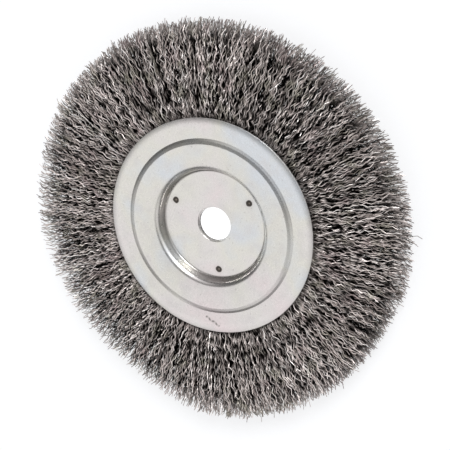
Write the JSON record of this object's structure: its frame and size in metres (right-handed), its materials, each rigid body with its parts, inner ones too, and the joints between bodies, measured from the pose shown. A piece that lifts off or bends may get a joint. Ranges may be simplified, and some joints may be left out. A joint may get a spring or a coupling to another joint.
{
  "type": "wire wheel brush",
  "caption": "Crimped wire wheel brush: a dense ring of wavy steel wires clamped between two spot-welded zinc-plated pressed plates with a plain round arbor hole.",
  "frame": {"origin": "centre of the arbor hole, on the joint between the two plates", "axes": "+Z along the wheel's axis, out of the front plate; +Y through one of the weld marks"},
  "size_m": [0.184, 0.1845, 0.0164],
  "materials": {
    "plated_steel": "satin zinc plate on pressed sheet steel, with brown weld marks",
    "ring_steel": "plain drawn steel rod",
    "crimped_wire": "crimped hard-drawn steel wire, grey-brown"
  },
  "bodies": {
    "root": {"front_plate": "plated_steel", "back_plate": "plated_steel", "core_ring": "ring_steel", "wire_fill": "crimped_wire"}
  },
  "joints": []
}
